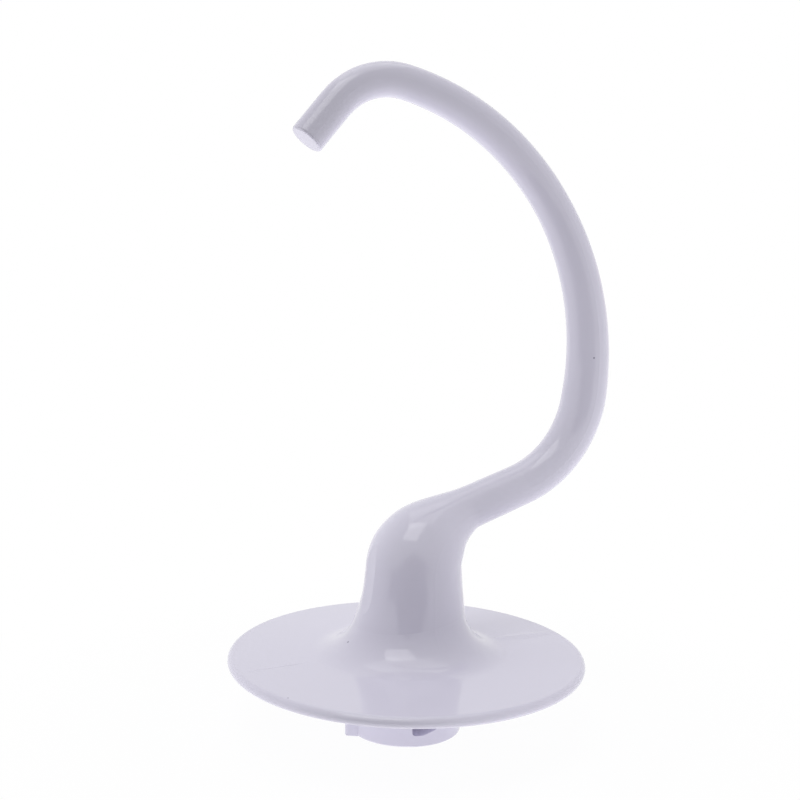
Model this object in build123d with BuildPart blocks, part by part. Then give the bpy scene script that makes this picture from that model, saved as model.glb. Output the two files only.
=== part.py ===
from build123d import *
from math import cos, radians, sin
import os

# A dough hook for a stand mixer: one casting, standing hub down, with the hook in the XZ plane.
# The origin is the middle of the hub's rim, where the mixer's shaft goes in, and +Z runs up the shaft.

# Hub, the collar that slides over the mixer's shaft
hub_d = 28.2
hub_h = 17.0
hub_edge_r = 0.4
hub_root_r = 2.5

# Socket for the shaft, blind, with its lead-in
shaft_d = 12.7
shaft_clearance = 0.15
socket_depth = 34.0
socket_lead = 0.8

# Bayonet for the shaft's cross pin: an entry keyway up the bore, then a window round to the lock
pin_d = 4.2
pin_clearance = 0.5
keyway_wall = 2.6
lock_angle = -108.0
slot_arc = 56.0
slot_z = 2.9
slot_rise = 3.2
seat_arc = 11.0
seat_r = 0.8

# Stub of the casting's runner, left standing on the hub at the parting plane
runner_out = 2.2
runner_crest = 1.0
runner_root = 3.8

# Flange, the round shield that keeps dough off the shaft
flange_d = 90.0
flange_t = 2.7
flange_rise = 0.9

# Stem, off the shaft's axis toward the hook at its top; it flares to a foot that stands back the other way
stem_root_d = 32.8
stem_root_x = -2.7
stem_top_d = 24.3
stem_top_x = 1.5
stem_h = 22.75
stem_root_r = 11.5
stem_flare = 1.5
foot_ease = 3.0

# Bend out of the stem: its sections stand on a fan about the inner radius, which opens to the leg
bend_inner_r = 9.5
leg_inner_r = 10.2
bend_ease = 1.7
leg_root_d = 11.0

# Hook, a line of tangent pieces with the heading and the rod's diameter where each one ends
leg_angle = 18.6
leg_length = 14.2
leg_d = 10.8
elbow_r = 28.15
elbow_to = 81.6
elbow_d = 11.75
belly_r = 68.6
belly_d = 9.4
belly_to = 168.2
crown_r = 18.7
crown_to = 230.3
crown_d = 8.4
tip_length = 11.2
tip_d = 8.4
tip_edge_r = 0.6

# Flat where the casting's gate was trimmed off the back, from a share of the stem's height to one of the bend
gate_depth = 0.25
gate_low = 0.55
gate_top = 0.175

# The skin's sections stand about this far apart all along, which keeps it even
section_step = 5.0

# Derived sizes
hub_r = hub_d / 2
bore_r = shaft_d / 2 + shaft_clearance
slot_h = pin_d + pin_clearance
entry_angle = lock_angle + slot_arc
core_angle = lock_angle + slot_arc / 2
side_core = Plane.XZ.rotated((0, 0, core_angle + 90))
lock_x = -hub_r * sin(radians(slot_arc / 2))
seat_x = -hub_r * sin(radians(slot_arc / 2 - seat_arc))
runner_root_x = (hub_r**2 - (runner_root / 2) ** 2) ** 0.5
rim_r = flange_t / 2
rim_x = flange_d / 2 - rim_r
rim_z = hub_h + rim_r
hub_share = 1 - hub_r / rim_x
stem_top_z = rim_z + stem_h
fan_x = stem_top_x + stem_top_d / 2 + bend_inner_r
bend_turn = 90 - leg_angle
bend_length = radians(bend_turn) * (bend_inner_r + (stem_top_d + leg_root_d) / 4)


def across(angle, origin):
    """A plane across the casting's line where that heads up the XZ plane at an angle from +X."""
    heading = (cos(radians(angle)), 0, sin(radians(angle)))
    outward = (-sin(radians(angle)), 0, cos(radians(angle)))
    return Plane(origin=origin, x_dir=outward, z_dir=heading)


def between(start, end, share):
    return start + (end - start) * share


def shares(length, share_in=0, share_out=1):
    """Evenly spaced shares of a piece of this length, without the one it starts at."""
    count = max(1, round(length * (share_out - share_in) / section_step))
    return [between(share_in, share_out, step / count) for step in range(1, count + 1)]


def stem_station(share):
    """The plane and the radius of the stem's section at a share of its height.

    The nearer the foot, the faster it widens and the faster it stands back.
    """
    middle_x = between(stem_top_x, stem_root_x, (1 - share) ** foot_ease)
    radius = between(stem_top_d, stem_root_d, (1 - share) ** stem_flare) / 2
    return across(90, (middle_x, 0, between(rim_z, stem_top_z, share))), radius


def fan_station(share):
    """The plane and the radius of the bend's section at a share of its turn.

    The radius leaves the stem and reaches the rod slowly, so that one melts into the other.
    """
    eased = share**bend_ease / (share**bend_ease + (1 - share) ** bend_ease)
    radius = between(stem_top_d, leg_root_d, eased) / 2
    heading = 90 - bend_turn * share
    reach = between(bend_inner_r, leg_inner_r, eased) + radius
    middle = (fan_x - reach * sin(radians(heading)), 0, stem_top_z + reach * cos(radians(heading)))
    return across(heading, middle), radius


def round_section(plane, radius):
    """A round face in quarters, which a skin follows more steadily than one full circle."""
    quarters = [Edge.make_circle(radius, plane, start, start + 90) for start in range(0, 360, 90)]
    return Face(Wire(quarters))


def back_point(station, depth=0):
    """The back of a section, or a point this deep inside it, in X and Z."""
    plane, radius = station
    point = plane.origin + plane.x_dir * (radius - depth)
    return point.X, point.Z


# Line of the gate flat, which runs out onto the skin at both ends
gate_line = [
    back_point(stem_station(gate_low)),
    back_point(stem_station(between(gate_low, 1, 0.5)), gate_depth),
    back_point(stem_station(1), gate_depth),
    back_point(fan_station(gate_top)),
]

# Middle line of the stem, the bend and the rod
stem_stations = [stem_station(share) for share in (0, *shares(stem_h))]
fan_stations = [fan_station(share) for share in (0, *shares(bend_length))]
with BuildLine(Plane.XZ) as middle_line:
    stem = Line((stem_top_x, rim_z), (stem_top_x, stem_top_z))
    bend_points = [plane.origin for plane, radius in fan_stations]
    bend = Spline(bend_points, tangents=(stem % 1, fan_stations[-1][0].z_dir))
    leg = PolarLine(bend @ 1, leg_length, direction=bend % 1)
    elbow = JernArc(leg @ 1, leg % 1, elbow_r, elbow_to - leg_angle)
    belly = JernArc(elbow @ 1, elbow % 1, belly_r, belly_to - elbow_to)
    crown = JernArc(belly @ 1, belly % 1, crown_r, crown_to - belly_to)
    tip = PolarLine(crown @ 1, tip_length, direction=crown % 1)

# Each stretch of the rod: its line and headings, then the shares and the diameters it starts and ends at
rod_stretches = (
    (leg, leg_angle, leg_angle, 0, 1, leg_root_d, leg_d),
    (elbow, leg_angle, elbow_to, 0, 1, leg_d, elbow_d),
    (belly, elbow_to, belly_to, 0, 0.5, elbow_d, belly_d),
    (belly, elbow_to, belly_to, 0.5, 1, belly_d, crown_d),
    (crown, belly_to, crown_to, 0, 1, crown_d, tip_d),
    (tip, crown_to, crown_to, 0, 1, tip_d, tip_d),
)

# Sections of the skin, from the flange to the tip
sections = [round_section(*station) for station in stem_stations + fan_stations[1:]]
for line, angle_in, angle_out, share_in, share_out, d_in, d_out in rod_stretches:
    for share in shares(line.length, share_in, share_out):
        along = (share - share_in) / (share_out - share_in)
        station = across(between(angle_in, angle_out, share), line @ share)
        sections.append(round_section(station, between(d_in, d_out, along) / 2))

with BuildPart() as dough_hook:
    # Hub and flange turned in one profile; the flange has a full round rim and an even wall
    with BuildSketch(Plane.XZ):
        with BuildLine():
            Polyline(
                (rim_x, hub_h),
                (hub_r, hub_h + flange_rise * hub_share),
                (hub_r, 0),
                (0, 0),
                (0, hub_h + flange_t + flange_rise),
                (rim_x, hub_h + flange_t),
            )
            ThreePointArc((rim_x, hub_h + flange_t), (rim_x + rim_r, rim_z), (rim_x, hub_h))
        make_face()
        fillet(vertices().filter_by_position(Axis.X, hub_r, hub_r).sort_by(Axis.Y)[0], hub_edge_r)
        fillet(vertices().filter_by_position(Axis.X, hub_r, hub_r).sort_by(Axis.Y)[-1], hub_root_r)
    revolve(axis=Axis.Z)

    # Stem, bend and hook swept as one skin through those sections, then run out onto the flange
    sweep(sections, path=middle_line.wire(), multisection=True)
    fillet(edges(Select.NEW), stem_root_r)
    fillet(faces().sort_by_distance(tip @ 1)[0].edges(), tip_edge_r)

    # Gate flat trimmed off the back along its line
    with BuildSketch(Plane.XZ):
        with BuildLine():
            Spline(gate_line)
            Polyline(
                gate_line[-1],
                (-stem_root_d, gate_line[-1][1]),
                (-stem_root_d, gate_line[0][1]),
                gate_line[0],
            )
        make_face()
    extrude(amount=stem_root_d / 2, both=True, mode=Mode.SUBTRACT)

    # Runner stub beside the hub, drafted to its crest, up into the flange
    with BuildSketch():
        with BuildLine():
            Polyline(
                (0, runner_root / 2),
                (-runner_root_x, runner_root / 2),
                (-hub_r - runner_out, runner_crest / 2),
                (-hub_r - runner_out, -runner_crest / 2),
                (-runner_root_x, -runner_root / 2),
                (0, -runner_root / 2),
                close=True,
            )
        make_face()
    extrude(amount=rim_z)

    # Socket for the shaft with its lead-in
    with BuildSketch():
        Circle(bore_r)
    extrude(amount=socket_depth, mode=Mode.SUBTRACT)
    rim_circles = edges().filter_by(GeomType.CIRCLE).filter_by_position(Axis.Z, 0, 0)
    chamfer(rim_circles.sort_by(SortBy.RADIUS)[0], socket_lead)

    # Bayonet: the keyway takes the pin up the bore, and the window takes it round to the lock
    with BuildSketch(Plane.XY.rotated((0, 0, entry_angle))):
        Rectangle(hub_r - keyway_wall, slot_h, align=(Align.MIN, Align.CENTER))
    extrude(amount=slot_z + slot_rise + slot_h, mode=Mode.SUBTRACT)
    with BuildSketch(side_core):
        with BuildLine():
            Polyline(
                (lock_x, slot_z),
                (seat_x, slot_z),
                (-lock_x, slot_z + slot_rise),
                (-lock_x, slot_z + slot_rise + slot_h),
                (seat_x, slot_z + slot_h),
                (lock_x, slot_z + slot_h),
                close=True,
            )
        make_face()
        fillet(vertices().group_by(Axis.X)[0], seat_r)
    extrude(amount=hub_d, mode=Mode.SUBTRACT)

os.makedirs("parts", exist_ok=True)
dough_hook.part.label = "dough_hook"
export_step(dough_hook.part, "parts/dough_hook.step")
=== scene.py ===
"""Looks of a stand mixer dough hook: one white-coated casting that stands on its hub."""

import logging
from dataclasses import dataclass
from enum import Enum
from math import cos, radians, sin, tan

import bpy
import numpy as np
from mathutils import Matrix, Vector


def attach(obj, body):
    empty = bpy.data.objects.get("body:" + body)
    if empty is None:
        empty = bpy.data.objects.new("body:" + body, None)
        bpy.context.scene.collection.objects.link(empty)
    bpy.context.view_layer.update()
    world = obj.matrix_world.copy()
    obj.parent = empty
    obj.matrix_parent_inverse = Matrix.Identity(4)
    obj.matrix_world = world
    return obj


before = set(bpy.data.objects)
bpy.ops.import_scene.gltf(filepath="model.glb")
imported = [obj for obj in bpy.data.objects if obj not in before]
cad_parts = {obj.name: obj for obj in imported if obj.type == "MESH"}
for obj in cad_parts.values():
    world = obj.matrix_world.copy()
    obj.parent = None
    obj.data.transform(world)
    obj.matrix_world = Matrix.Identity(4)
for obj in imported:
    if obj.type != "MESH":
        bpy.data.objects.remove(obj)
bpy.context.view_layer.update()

log = logging.getLogger("dough_hook")
IMAGE_PX = 800
HOOK_NODE = "dough_hook"
BODY = "root"
WHITE = (1.0, 1.0, 1.0, 1.0)

# Numbers of the colour sockets of Blender's Mix node
MIX_A, MIX_B, MIX_RESULT = 6, 7, 2


def mm(length: float) -> float:
    """Millimetres to Blender's metres."""
    return length / 1000.0


def linear(colour: str) -> tuple[float, float, float, float]:
    """Turns an sRGB hex colour to linear light.

    The standard's curve is straight for the darkest values and a power of 2.4 above them.

    Args:
        colour: Six hex digits after a hash.

    Returns:
        Red, green, blue and an alpha of 1.
    """
    srgb = np.array([int(colour[i:i + 2], 16) for i in (1, 3, 5)]) / 255.0
    light = np.where(srgb <= 0.04045, srgb / 12.92, ((srgb + 0.055) / 1.055) ** 2.4)
    return (*map(float, light), 1.0)


def add_node(tree: bpy.types.NodeTree, kind: str, sockets: dict | None = None,
             links: dict | None = None, **settings: object) -> bpy.types.Node:
    """Adds a node with its settings, its constant inputs and its links.

    Args:
        tree: The node tree that gets the node.
        kind: Blender's name of the node type.
        sockets: Constants by input name or number.
        links: Output sockets by the input name or number that they feed.
        settings: The node's own properties.

    Returns:
        The new node.
    """
    node = tree.nodes.new(kind)
    for name, value in settings.items():
        setattr(node, name, value)
    for key, value in (sockets or {}).items():
        node.inputs[key].default_value = value
    for key, output in (links or {}).items():
        tree.links.new(output, node.inputs[key])
    return node


def new_tree(owner: bpy.types.Material | bpy.types.World) -> bpy.types.NodeTree:
    """Gives a material or a world an empty node tree.

    Args:
        owner: The material or world.

    Returns:
        Its cleared tree.
    """
    owner.use_nodes = True
    owner.node_tree.nodes.clear()
    return owner.node_tree


def grid_piece(name: str, points: np.ndarray) -> bpy.types.Object:
    """Makes a closed tube from a grid of points, with a pole at each end.

    The grid runs round the tube in its first axis and along it in its second. Face (i, j) joins the
    points i and i+1 round the tube with j and j+1 along it, and the first and last rings shrink to a
    point each, so that the tube closes.

    Args:
        name: The piece's name.
        points: Rings of points, shaped (round, along, 3), in metres.

    Returns:
        The new object, at the origin.
    """
    around, along, _ = points.shape
    index = np.arange(around * along).reshape(around, along)
    here, beside = index, np.roll(index, -1, axis=0)
    quads = np.stack([here[:, :-1], beside[:, :-1], beside[:, 1:], here[:, 1:]], axis=-1).reshape(-1, 4)
    mesh = bpy.data.meshes.new(name)
    mesh.from_pydata(points.reshape(-1, 3).tolist(), [], quads.tolist())
    mesh.validate()
    mesh.shade_smooth()
    piece = bpy.data.objects.new(name, mesh)
    bpy.context.scene.collection.objects.link(piece)
    return piece


class Side(Enum):
    """The two sides of the shield that the parting line crosses, by the sign of X."""

    BACK = -1
    HOOK = 1


@dataclass(frozen=True)
class Pinhole:
    """A pinhole where the coat didn't close, drawn as painted shade, with its place on the skin in
    millimetres.
    """

    x: float
    y: float
    z: float
    radius: float


@dataclass(frozen=True)
class WhiteCoat:
    """White polyester powder coat, sprayed on die-cast aluminium and baked.

    It flows out to a smooth gloss that shows the studio in it, with a cool cast, a slight orange peel
    from the powder and the slow waves of the casting under it. Widths and depths are in millimetres,
    and each pinhole's painted shade is fully dark inside the core's share of its radius.
    """

    name: str = "baked_white_powder_coat"
    colour: str = "#D4D1E1"
    # Painted shade of a pinhole's hollow: the coat's colour darkened, since the hole itself is not
    # modelled.
    pinhole_shade_colour: str = "#86839A"
    roughness: float = 0.085
    ior: float = 1.5
    peel_width: float = 1.6
    peel_depth: float = 0.0012
    wave_width: float = 11.0
    wave_depth: float = 0.012
    relief_detail: float = 1.0
    shade_core: float = 0.5
    pinholes: tuple[Pinhole, ...] = (
        Pinhole(49.61, -5.37, 93.86, 0.3),
        Pinhole(-15.88, 0.56, 23.73, 0.37),
        Pinhole(-38.84, -19.62, 19.70, 0.27),
    )

    def material(self) -> bpy.types.Material:
        """Builds the coat.

        Two noises on Object coordinates raise the surface, each with a scale of one over its real
        width, and each pinhole paints shade into the colour inside its radius, in place of its hollow.

        Returns:
            The material.
        """
        material = bpy.data.materials.new(self.name)
        tree = new_tree(material)
        place = add_node(tree, "ShaderNodeTexCoord").outputs["Object"]
        shader = add_node(tree, "ShaderNodeBsdfPrincipled", {
            "Roughness": self.roughness, "IOR": self.ior})
        wave = self.relief(tree, place, self.wave_width, self.wave_depth, None)
        peel = self.relief(tree, place, self.peel_width, self.peel_depth, wave.outputs["Normal"])
        tree.links.new(peel.outputs["Normal"], shader.inputs["Normal"])
        tree.links.new(self.painted_pinhole_shade(tree, place), shader.inputs["Base Color"])
        add_node(tree, "ShaderNodeOutputMaterial", links={"Surface": shader.outputs["BSDF"]})
        return material

    def relief(self, tree: bpy.types.NodeTree, place: bpy.types.NodeSocket, width: float, depth: float,
               under: bpy.types.NodeSocket | None) -> bpy.types.Node:
        """Adds one noise as a relief of the surface.

        Args:
            tree: The coat's nodes.
            place: Object coordinates.
            width: How wide one bump is, in millimetres.
            depth: How far the bumps stand, in millimetres.
            under: The normal of the relief below, if there is one.

        Returns:
            The bump node.
        """
        noise = add_node(tree, "ShaderNodeTexNoise", {
            "Scale": 1.0 / mm(width), "Detail": self.relief_detail}, {"Vector": place})
        links = {"Height": noise.outputs["Fac"]}
        if under is not None:
            links["Normal"] = under
        return add_node(tree, "ShaderNodeBump", {"Distance": mm(depth)}, links)

    def painted_pinhole_shade(self, tree: bpy.types.NodeTree, place: bpy.types.NodeSocket) -> bpy.types.NodeSocket:
        """Mixes the pinholes' painted shade into the coat's colour, one pinhole after the other.

        Args:
            tree: The coat's nodes.
            place: Object coordinates.

        Returns:
            The colour socket for the shader.
        """
        colour = None
        for hole in self.pinholes:
            centre, radius = (mm(hole.x), mm(hole.y), mm(hole.z)), mm(hole.radius)
            away = add_node(tree, "ShaderNodeVectorMath", {1: centre}, {0: place}, operation="DISTANCE")
            # Painted shade: 1 inside each pinhole's core, fading to 0 at its radius.
            pinhole_shade_mask = add_node(tree, "ShaderNodeMapRange", {
                "From Min": radius, "From Max": radius * self.shade_core}, {"Value": away.outputs["Value"]})
            mix = add_node(tree, "ShaderNodeMix", {
                MIX_A: linear(self.colour), MIX_B: linear(self.pinhole_shade_colour)},
                {0: pinhole_shade_mask.outputs["Result"]}, data_type="RGBA")
            if colour is not None:
                tree.links.new(colour, mix.inputs[MIX_A])
            colour = mix.outputs[MIX_RESULT]
        return colour


@dataclass
class DoughHook:
    """The casting itself: its solid stays as it is, and gets its coat."""

    coat: bpy.types.Material

    def dress(self) -> bpy.types.Object:
        """Puts the coat on the casting's material slots.

        Returns:
            The casting.
        """
        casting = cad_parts[HOOK_NODE]
        for slot in casting.material_slots:
            slot.material = self.coat
        log.info("%s: %d triangles, coated", casting.name, len(casting.data.polygons))
        return casting


@dataclass(frozen=True)
class RidgeForm:
    """One ridge in millimetres: where it starts, its half widths on -Y and +Y, and its height."""

    foot_reach: float
    near_half: float
    far_half: float
    height: float


RIDGE_FORMS = {
    Side.BACK: RidgeForm(26.0, 0.25, 0.25, 0.05),
    Side.HOOK: RidgeForm(25.0, 3.0, 1.0, 0.09),
}


@dataclass
class PartingLine:
    """The fine ridge that the two halves of the mould left across the shield, in millimetres."""

    coat: bpy.types.Material
    rim_radius: float = 43.65
    rim_height: float = 19.7
    rise: float = 0.9
    sunk: float = 0.06
    rings: int = 48
    ring_points: int = 64

    def ridge(self, side: Side) -> np.ndarray:
        """Works out one ridge.

        Along v the line goes out on the shield's cone, whose height falls evenly by its rise from the
        axis to the rim. Round u the section is a lens of two parabolas, the upper one standing on the
        skin and the lower one sunk in it, with its own half width on either side of the crest. A
        factor of the root of sin(pi v) draws both ends to a point.

        Args:
            side: The side of the shield.

        Returns:
            The grid of points in metres.
        """
        form = RIDGE_FORMS[side]
        u = np.linspace(0.0, 2.0 * np.pi, self.ring_points, endpoint=False)[:, None]
        v = np.linspace(0.0, 1.0, self.rings)[None, :]
        reach = form.foot_reach + (self.rim_radius - form.foot_reach) * v
        skin = self.rim_height + self.rise * (1.0 - reach / self.rim_radius)
        taper = np.sqrt(np.sin(np.pi * v))
        up = np.where(np.sin(u) > 0.0, form.height, -self.sunk) * np.sin(u) ** 2
        half = np.where(np.cos(u) < 0.0, form.near_half, form.far_half)
        x = side.value * reach + 0.0 * u
        y = half * np.cos(u) * taper
        z = skin + up * taper
        return mm(1.0) * np.stack([x, y, z], axis=-1)

    def build(self) -> list[bpy.types.Object]:
        """Makes the ridge on both sides.

        Returns:
            The two pieces.
        """
        pieces = []
        for side in Side:
            piece = grid_piece(f"parting_ridge_{side.name.lower()}", self.ridge(side))
            piece.data.materials.append(self.coat)
            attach(piece, BODY)
            log.info("%s: %d faces", piece.name, len(piece.data.polygons))
            pieces.append(piece)
        return pieces


@dataclass(frozen=True)
class SoftBox:
    """A soft lamp that faces the casting, in metres and degrees, its bearing from the camera's side."""

    name: str
    bearing: float
    elevation: float
    distance: float
    width: float
    height: float
    radiance: float

    def build(self, target: Vector, camera_bearing: float) -> bpy.types.Object:
        """Hangs the lamp.

        Its power is radiance times area times pi, which is what makes its face that bright.

        Args:
            target: The point that it faces.
            camera_bearing: The camera's own bearing in degrees about +Z.

        Returns:
            The lamp's object.
        """
        turn, tilt = radians(camera_bearing + self.bearing), radians(self.elevation)
        away = Vector((cos(tilt) * cos(turn), cos(tilt) * sin(turn), sin(tilt)))
        lamp = bpy.data.lights.new(self.name, "AREA")
        lamp.shape = "RECTANGLE"
        lamp.size, lamp.size_y = self.width, self.height
        lamp.energy = self.radiance * self.width * self.height * np.pi
        light = bpy.data.objects.new(self.name, lamp)
        light.location = target + away * self.distance
        light.rotation_euler = away.to_track_quat("Z", "Y").to_euler()
        light.visible_camera = False
        bpy.context.scene.collection.objects.link(light)
        log.info("%s: %.2f W", self.name, lamp.energy)
        return light


@dataclass
class PhotoCamera:
    """The photograph's camera, from how the hub's middle sits in the picture, in mm and degrees."""

    lens: float = 54.0
    sensor: float = 36.0
    yaw: float = 25.2
    pitch: float = 6.92
    roll: float = 1.23
    hub_pixel: tuple[float, float] = (404.7, 725.2)
    hub_depth: float = 306.95
    near_clip: float = 10.0

    @property
    def bearing(self) -> float:
        """The bearing from the casting to the camera, in degrees about +Z."""
        return -90.0 - self.yaw

    def build(self) -> bpy.types.Object:
        """Makes the camera and gives it to the scene.

        The view axes come from the yaw, the pitch and then the roll about the line of sight. The camera
        stands where the hub's middle lies at its depth and falls on its pixel.

        Returns:
            The camera's object.
        """
        turned = Matrix.Rotation(radians(-self.yaw), 3, "Z")
        tilt, lean = radians(self.pitch), radians(self.roll)
        ahead = turned @ Vector((0.0, cos(tilt), -sin(tilt)))
        level = turned @ Vector((1.0, 0.0, 0.0))
        above = turned @ Vector((0.0, sin(tilt), cos(tilt)))
        right = cos(lean) * level + sin(lean) * above
        up = cos(lean) * above - sin(lean) * level
        focal_px = self.lens / self.sensor * IMAGE_PX
        middle = IMAGE_PX / 2
        across = (self.hub_pixel[0] - middle) / focal_px
        down = (self.hub_pixel[1] - middle) / focal_px
        place = -mm(self.hub_depth) * (ahead + across * right - down * up)
        data = bpy.data.cameras.new("photo_camera")
        data.lens, data.sensor_width = self.lens, self.sensor
        data.clip_start = mm(self.near_clip)
        camera = bpy.data.objects.new("photo_camera", data)
        axes = Matrix((right, up, -ahead)).transposed()
        camera.matrix_world = Matrix.Translation(place) @ axes.to_4x4()
        bpy.context.scene.collection.objects.link(camera)
        bpy.context.scene.camera = camera
        log.info("camera at %s", tuple(round(c, 4) for c in place))
        return camera


@dataclass(frozen=True)
class DimWedge:
    """A low wedge in front of the casting where the studio is dim.

    Its turn from the camera's side, its half width and its height are angles in degrees. The white
    begins to fade at the first depth of its fade and is gone at the second.
    """

    turn: float
    half: float
    height: float
    fade: tuple[float, float]

    def white_part(self, tree: bpy.types.NodeTree, vector: bpy.types.NodeSocket,
                   camera_bearing: float) -> bpy.types.NodeSocket:
        """Adds a factor of 1 that fades to 0 in the wedge.

        The depth in the wedge is how far the vector goes along the wedge's middle, less a share of how
        far it goes to either side and a share of how far it goes up.

        Args:
            tree: The node tree that gets the factor.
            vector: A place or a direction.
            camera_bearing: The camera's bearing in degrees about +Z, from which the wedge turns.

        Returns:
            The factor's socket.
        """
        turn = radians(camera_bearing + self.turn)
        ahead = add_node(tree, "ShaderNodeVectorMath", {1: (cos(turn), sin(turn), 0.0)}, {0: vector},
                         operation="DOT_PRODUCT")
        beside = add_node(tree, "ShaderNodeVectorMath", {1: (-sin(turn), cos(turn), 0.0)}, {0: vector},
                          operation="DOT_PRODUCT")
        off = add_node(tree, "ShaderNodeMath", links={0: beside.outputs["Value"]}, operation="ABSOLUTE")
        depth = add_node(tree, "ShaderNodeMath", {1: -1.0 / tan(radians(self.half))}, {
            0: off.outputs[0], 2: ahead.outputs["Value"]}, operation="MULTIPLY_ADD")
        parts = add_node(tree, "ShaderNodeSeparateXYZ", links={0: vector})
        low = add_node(tree, "ShaderNodeMath", {1: -1.0 / tan(radians(self.height))}, {
            0: parts.outputs["Z"], 2: depth.outputs[0]}, operation="MULTIPLY_ADD")
        return add_node(tree, "ShaderNodeMapRange", {
            "From Min": self.fade[0], "From Max": self.fade[1], "To Min": 1.0, "To Max": 0.0},
            {"Value": low.outputs[0]}, interpolation_type="SMOOTHSTEP").outputs["Result"]


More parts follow.
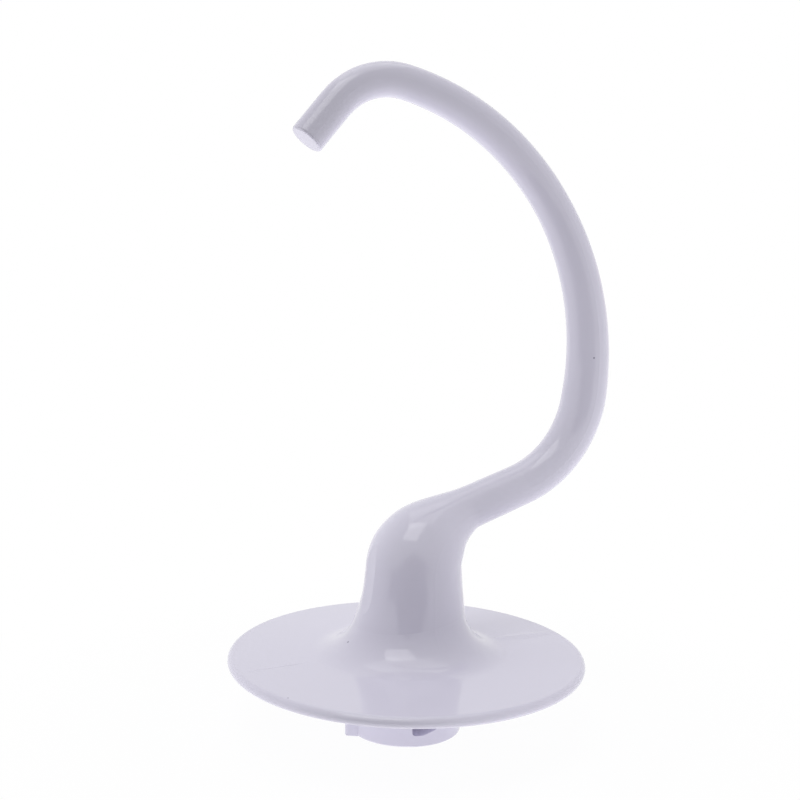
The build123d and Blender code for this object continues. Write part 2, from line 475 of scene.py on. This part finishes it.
@dataclass
class Studio:
    """A white table that gives light, two soft lamps above it, and a bright room that is dim in front.

    Lengths are in metres, and a level is the strength of the light that a surface gives. The table glows
    by its share and is paint for the rest. The shadow's share is the paint that the camera sees by the hub.
    """

    camera_bearing: float
    floor_half: float = 2.0
    floor_colour: str = "#F4F4F7"
    table_level: float = 1.84
    table_near: float = 1.4
    table_reach: tuple[float, float] = (0.03, 0.12)
    table_front: float = 0.02
    table_wedge: DimWedge = DimWedge(-12.0, 51.0, 40.0, (0.05, 0.075))
    table_share: float = 0.9
    shadow_share: float = 0.05
    shadow_reach: tuple[float, float] = (0.05, 0.14)
    target: tuple[float, float, float] = (0.005, 0.0, 0.08)
    front_level: float = 0.01
    back_level: float = 0.66
    room_wedge: DimWedge = DimWedge(20.0, 72.0, 43.0, (-0.1, 0.25))
    mirror_wedge: DimWedge = DimWedge(-5.0, 38.0, 27.0, (-0.02, 0.07))
    boxes: tuple[SoftBox, ...] = (
        SoftBox("front_box", -28.0, 63.0, 1.6, 1.0, 0.85, 2.0),
        SoftBox("top_box", 180.0, 84.0, 1.6, 1.44, 1.44, 0.84),
    )

    def build(self) -> None:
        """Lays the floor, lights the world and hangs the two lamps."""
        self.floor()
        self.world()
        for box in self.boxes:
            box.build(Vector(self.target), self.camera_bearing)

    @staticmethod
    def seen(tree: bpy.types.NodeTree, white: bpy.types.NodeSocket) -> bpy.types.NodeSocket:
        """Adds a factor of 1 for rays that show the white background.

        The camera's rays show it all round. Mirrored and refracted ones show it where it is white.

        Args:
            tree: The node tree that gets the factor.
            white: 1 where the background is white, and 0 in the dim part in front.

        Returns:
            The factor's socket.
        """
        path = add_node(tree, "ShaderNodeLightPath")
        bent = add_node(tree, "ShaderNodeMath", links={
            0: path.outputs["Is Glossy Ray"], 1: path.outputs["Is Transmission Ray"]}, operation="MAXIMUM")
        there = add_node(tree, "ShaderNodeMath", links={0: bent.outputs[0], 1: white}, operation="MULTIPLY")
        return add_node(tree, "ShaderNodeMath", links={
            0: path.outputs["Is Camera Ray"], 1: there.outputs[0]}, operation="MAXIMUM").outputs[0]

    def floor(self) -> bpy.types.Object:
        """Lays the table's square of floor under the hub.

        Returns:
            The floor's object.
        """
        half = self.floor_half
        mesh = bpy.data.meshes.new("floor")
        corners = [(-half, -half, 0.0), (half, -half, 0.0), (half, half, 0.0), (-half, half, 0.0)]
        mesh.from_pydata(corners, [], [(0, 1, 2, 3)])
        mesh.materials.append(self.table_top())
        floor = bpy.data.objects.new("floor", mesh)
        bpy.context.scene.collection.objects.link(floor)
        return floor

    def table_top(self) -> bpy.types.Material:
        """Makes the white of the table, which gives light from below and keeps a trace of the shadow.

        Its light is weaker near the hub and in the wedge in front. To the camera it looks white, apart
        from a share near the hub that is paint and takes the casting's shadow.

        Returns:
            The material.
        """
        material = bpy.data.materials.new("matt_white_sweep")
        tree = new_tree(material)
        paint = add_node(tree, "ShaderNodeBsdfDiffuse", {"Color": linear(self.floor_colour)})
        place = add_node(tree, "ShaderNodeTexCoord").outputs["Object"]
        white = self.table_wedge.white_part(tree, place, self.camera_bearing)
        seen = self.seen(tree, white)
        away = add_node(tree, "ShaderNodeVectorMath", links={0: place}, operation="LENGTH")
        spread = add_node(tree, "ShaderNodeMapRange", {
            "From Min": self.table_reach[0], "From Max": self.table_reach[1],
            "To Min": self.table_near, "To Max": self.table_level}, {"Value": away.outputs["Value"]},
            interpolation_type="SMOOTHSTEP")
        lit = add_node(tree, "ShaderNodeMapRange", {"To Min": self.table_front}, {
            "Value": white, "To Max": spread.outputs["Result"]})
        level = add_node(tree, "ShaderNodeMapRange", {"To Max": 1.0}, {
            "Value": seen, "To Min": lit.outputs["Result"]})
        glow = add_node(tree, "ShaderNodeEmission", {"Color": WHITE}, {"Strength": level.outputs["Result"]})
        clear = add_node(tree, "ShaderNodeMapRange", {
            "From Min": self.shadow_reach[0], "From Max": self.shadow_reach[1],
            "To Min": 1.0 - self.shadow_share, "To Max": 1.0}, {"Value": away.outputs["Value"]},
            interpolation_type="SMOOTHSTEP")
        share = add_node(tree, "ShaderNodeMapRange", {"To Min": self.table_share}, {
            "Value": seen, "To Max": clear.outputs["Result"]})
        mixed = add_node(tree, "ShaderNodeMixShader", links={
            0: share.outputs["Result"], 1: paint.outputs["BSDF"], 2: glow.outputs["Emission"]})
        add_node(tree, "ShaderNodeOutputMaterial", links={"Surface": mixed.outputs["Shader"]})
        return material

    def world(self) -> bpy.types.World:
        """Lights the room: bright round the casting, dim in a wedge in front, and white to look at.

        The coat mirrors the white too, except in a narrower wedge, where it mirrors the room's light.

        Returns:
            The world.
        """
        world = bpy.data.worlds.new("studio")
        bpy.context.scene.world = world
        tree = new_tree(world)
        ray = add_node(tree, "ShaderNodeTexCoord").outputs["Generated"]
        bright = self.room_wedge.white_part(tree, ray, self.camera_bearing)
        mirrored = self.mirror_wedge.white_part(tree, ray, self.camera_bearing)
        level = add_node(tree, "ShaderNodeMapRange", {
            "To Min": self.front_level, "To Max": self.back_level}, {"Value": bright})
        room = add_node(tree, "ShaderNodeBackground", {"Color": WHITE},
                        {"Strength": level.outputs["Result"]})
        white = add_node(tree, "ShaderNodeBackground", {"Color": WHITE, "Strength": 1.0})
        mixed = add_node(tree, "ShaderNodeMixShader", links={
            0: self.seen(tree, mirrored), 1: room.outputs["Background"], 2: white.outputs["Background"]})
        add_node(tree, "ShaderNodeOutputWorld", links={"Surface": mixed.outputs["Shader"]})
        return world


def main() -> None:
    """Dresses the casting, adds its parting line and sets up the studio."""
    logging.basicConfig(level=logging.INFO, format="%(name)s: %(message)s")
    bpy.context.scene.view_settings.view_transform = "Standard"
    coat = WhiteCoat().material()
    DoughHook(coat).dress()
    PartingLine(coat).build()
    camera = PhotoCamera()
    camera.build()
    Studio(camera.bearing).build()


if __name__ == "__main__":
    main()
